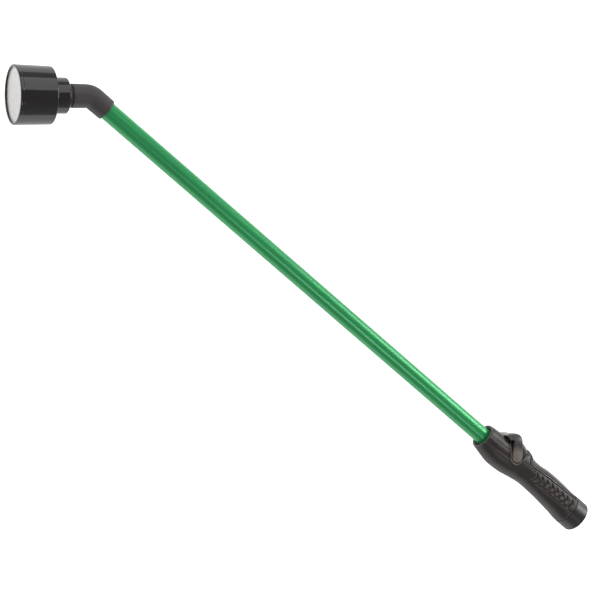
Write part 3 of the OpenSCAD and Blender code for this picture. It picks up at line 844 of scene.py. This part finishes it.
# Acetal is a waxy off-white and PTFE a whiter, duller one. Nitrile is a dead black that hardly
# shines, and the core's nylon a satin black.
acetal = plain_finish("moulded_acetal", "#c4c2b9", "#d2d0c8", 0.30, 0.40, 1.5, 0.05)
ptfe = plain_finish("white_ptfe", "#d8d5cb", "#e4e2da", 0.40, 0.52, 1.0, 0.05)
nitrile = plain_finish("black_nitrile_rubber", "#161616", "#1f1e1e", 0.50, 0.65, 0.6, 0.15)
core_nylon = plain_finish("black_core_nylon", "#1c1b1c", "#242223", 0.42, 0.55, 0.5, 0.10)
inner_finishes = {
    "valve_plug": acetal, "valve_seat_inlet": ptfe, "valve_seat_outlet": ptfe, "lever_washers": ptfe,
    "breaker_baffle": acetal, "baffle_spacer": acetal, "handle_core": core_nylon,
    "valve_cap": core_nylon, "hose_washer": nitrile, "stem_orings": nitrile, "cap_oring": nitrile,
    "tube_orings": nitrile, "elbow_oring": nitrile, "breaker_washer": nitrile, "face_gasket": nitrile}
for name, material in inner_finishes.items():
    nodes[name].data.materials.clear()
    nodes[name].data.materials.append(material)


# ---- Studio ----
# A bright white sweep under the wand, a soft grey room, and three softboxes: one beside the
# handle, one wide one beside the head and a small one that draws a line along the tube.

floor_size, floor_gap = 12, 0.002
floor_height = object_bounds()[0][2] - floor_gap
bpy.ops.mesh.primitive_plane_add(size=floor_size, location=(0.4, 0, floor_height))
floor = bpy.context.object
floor.name = "studio_floor"
# Matt white paper with a faint glow of its own, so that it stays white under soft lights.
paper, tree, shader, place = start_material("white_paper_sweep")
shader.inputs["Base Color"].default_value = linear("#e4e4e4")
shader.inputs["Roughness"].default_value = 0.9
shader.inputs["Emission Color"].default_value = linear("#ffffff")
shader.inputs["Emission Strength"].default_value = 0.9
floor.data.materials.append(paper)

world = bpy.data.worlds.new("studio_room")
bpy.context.scene.world = world
world.use_nodes = True
tree = world.node_tree
sky = add(tree, "ShaderNodeTexCoord").outputs["Generated"]
height = add(tree, "ShaderNodeSeparateXYZ", {"Vector": sky}).outputs["Z"]
glow = add(tree, "ShaderNodeMapRange", {"Value": height, "From Min": 0.1, "From Max": 0.8,
                                        "To Min": 0.5, "To Max": 0.22})
tree.nodes["Background"].inputs["Color"].default_value = linear("#f6f5f6")
tree.links.new(glow.outputs[0], tree.nodes["Background"].inputs["Strength"])


def softbox(name, location, target, width, height, power):
    """A rectangular area light that faces a point."""
    light = bpy.data.lights.new(name, "AREA")
    light.shape = "RECTANGLE"
    light.size, light.size_y = width, height
    light.energy = power
    lamp = bpy.data.objects.new(name, light)
    lamp.location = location
    lamp.rotation_euler = (Vector(target) - Vector(location)).to_track_quat("-Z", "Y").to_euler()
    bpy.context.scene.collection.objects.link(lamp)


handle_point, tube_point, head_point = (0.1, 0.0, 0.0), (0.3, 0.0, 0.0), (0.79, 0.05, 0.0)
softbox("handle_softbox", (-1.05, -1.65, 1.05), handle_point, 1.4, 0.9, 36)
softbox("head_softbox", (1.75, -1.15, 1.95), head_point, 3.0, 2.4, 34)
softbox("key_softbox", (-0.95, 1.53, 2.76), tube_point, 0.7, 0.7, 15)

camera_data = bpy.data.cameras.new("camera")
camera_data.sensor_width = 36.0
camera_data.lens = 94.6
camera = bpy.data.objects.new("camera", camera_data)
bpy.context.scene.collection.objects.link(camera)
camera_place = (0.9888, 0.4743, 1.4612)
right, up, away = ((-0.7133, -0.5461, 0.4393), (0.6137, -0.7894, 0.0152), (0.3385, 0.2805, 0.8982))
turn = Matrix((right, up, away)).transposed()
camera.matrix_world = Matrix.Translation(camera_place) @ turn.to_4x4()
bpy.context.scene.camera = camera
bpy.context.scene.view_settings.view_transform = "Standard"
